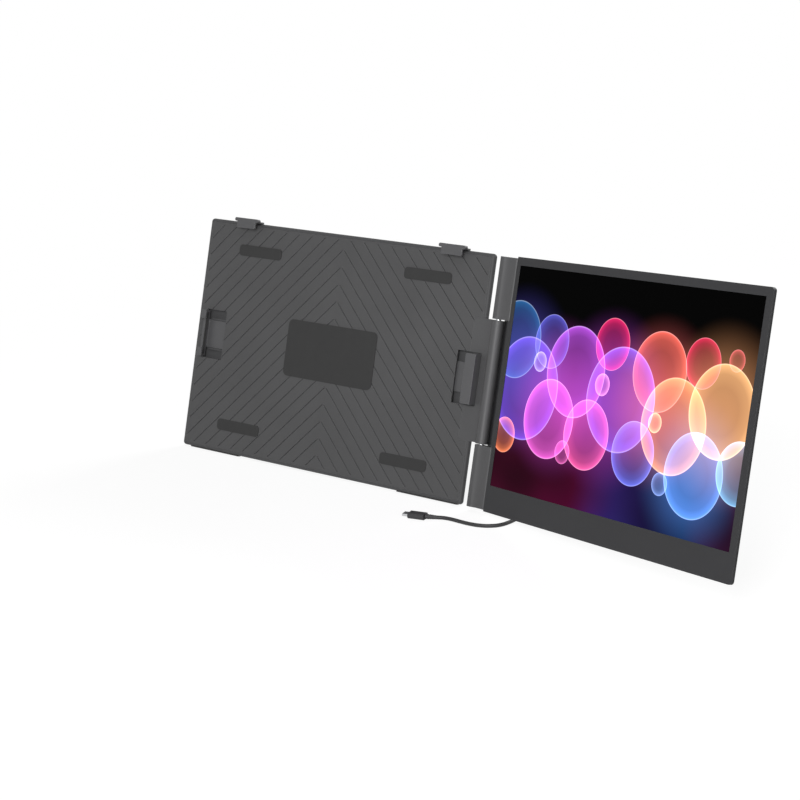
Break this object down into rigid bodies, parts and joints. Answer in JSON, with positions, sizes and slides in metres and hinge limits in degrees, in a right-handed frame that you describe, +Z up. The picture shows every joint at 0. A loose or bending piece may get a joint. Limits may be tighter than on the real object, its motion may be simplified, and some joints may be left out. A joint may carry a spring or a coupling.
{
  "type": "laptop screen extender",
  "caption": "Flat plate that clips behind a laptop's lid, with a second screen hinged to its right edge, sliding lid clips, a kickstand and a short USB-C lead.",
  "frame": {"origin": "middle of the rubber lid rest on the plate's front, at its face", "axes": "+X to the user's right along the plate, +Y away from the user, +Z up; the plate leans back by 17.5 degrees"},
  "size_m": [0.7559, 0.2055, 0.2785],
  "materials": {
    "cover_grey": "fine matt",
    "panel_grey": "fine matt with moulded grooves",
    "hinge_grey": "satin",
    "clip_grey": "satin",
    "screen_black": "fine matt",
    "bezel_grey": "fine matt",
    "steel": "brushed",
    "stand_metal": "satin paint",
    "rubber_black": "matt",
    "panel_glass": "matt anti-glare",
    "white_diffuser": "matt",
    "board_green": "solder mask",
    "speaker_black": "matt",
    "plug_grey": "matt",
    "cord_rubber": "matt",
    "spring_steel": "plain"
  },
  "bodies": {
    "plate": {"back_cover": "cover_grey", "front_panel": "panel_grey", "carry_sheet": "steel", "spine_cover": "hinge_grey", "leaf_lower": "steel", "leaf_upper": "steel", "torque_bands": "spring_steel", "leaf_screws": "steel", "plate_screws": "steel", "lid_pads": "rubber_black", "bottom_feet": "rubber_black", "clip_guides": "cover_grey", "lift_springs": "spring_steel", "slider_brakes": "rubber_black", "stand_brackets": "steel", "stand_pin": "steel"},
    "top_clip_left": {"top_clip_left": "clip_grey", "top_pad_left": "rubber_black"},
    "top_clip_right": {"top_clip_right": "clip_grey", "top_pad_right": "rubber_black"},
    "side_clip_left": {"side_clip_left": "clip_grey", "side_pad_left": "rubber_black"},
    "side_clip_right": {"side_clip_right": "clip_grey", "side_pad_right": "rubber_black"},
    "kickstand": {"stand_leg": "stand_metal", "stand_foot": "rubber_black"},
    "screen": {"screen_shell": "screen_black", "front_bezel": "bezel_grey", "lcd_panel": "panel_glass", "backlight_unit": "white_diffuser", "main_board": "board_green", "usb_c_sockets": "steel", "video_socket": "steel", "speakers": "speaker_black", "button_board": "board_green", "knuckle_lower": "hinge_grey", "knuckle_upper": "hinge_grey", "arm_lower": "steel", "arm_upper": "steel", "hinge_shafts": "steel", "arm_screws": "steel", "screen_screws": "steel", "screen_plug": "plug_grey", "screen_plug_shell": "steel", "usb_cord": "cord_rubber", "laptop_plug": "plug_grey", "laptop_plug_shell": "steel"},
    "power_button": {"power_button": "screen_black"},
    "minus_button": {"minus_button": "screen_black"},
    "plus_button": {"plus_button": "screen_black"}
  },
  "joints": [
    {"name": "screen_hinge", "type": "hinge", "parent": "plate", "child": "screen", "pos_m": [0.2077, -0.00134, 0.00042], "axis": [0, 0.3007, 0.9537], "range_deg": [-132, 19]},
    {"name": "top_clip_left_slide", "type": "slide", "parent": "plate", "child": "top_clip_left", "axis": [0, 0.3007, 0.9537], "range_m": [0, 0.025], "stiffness_N_per_m": 150, "springref_m": -0.02},
    {"name": "top_clip_right_slide", "type": "slide", "parent": "plate", "child": "top_clip_right", "axis": [0, 0.3007, 0.9537], "range_m": [0, 0.025], "stiffness_N_per_m": 150, "springref_m": -0.02},
    {"name": "side_clip_left_slide", "type": "slide", "parent": "plate", "child": "side_clip_left", "axis": [1, 0, 0], "range_m": [0, 0.026]},
    {"name": "side_clip_right_slide", "type": "slide", "parent": "plate", "child": "side_clip_right", "axis": [-1, 0, 0], "range_m": [0, 0.026]},
    {"name": "kickstand_hinge", "type": "hinge", "parent": "plate", "child": "kickstand", "pos_m": [0, 0.0203, 0.04708], "axis": [1, 0, 0], "range_deg": [-26.54, 0]},
    {"name": "power_button_press", "type": "slide", "parent": "screen", "child": "power_button", "axis": [-0.9455, 0.3105, -0.0979], "range_m": [0, 0.0008], "stiffness_N_per_m": 600, "springref_m": -0.001},
    {"name": "minus_button_press", "type": "slide", "parent": "screen", "child": "minus_button", "axis": [-0.9455, 0.3105, -0.0979], "range_m": [0, 0.0008], "stiffness_N_per_m": 600, "springref_m": -0.001},
    {"name": "plus_button_press", "type": "slide", "parent": "screen", "child": "plus_button", "axis": [-0.9455, 0.3105, -0.0979], "range_m": [0, 0.0008], "stiffness_N_per_m": 600, "springref_m": -0.001}
  ]
}
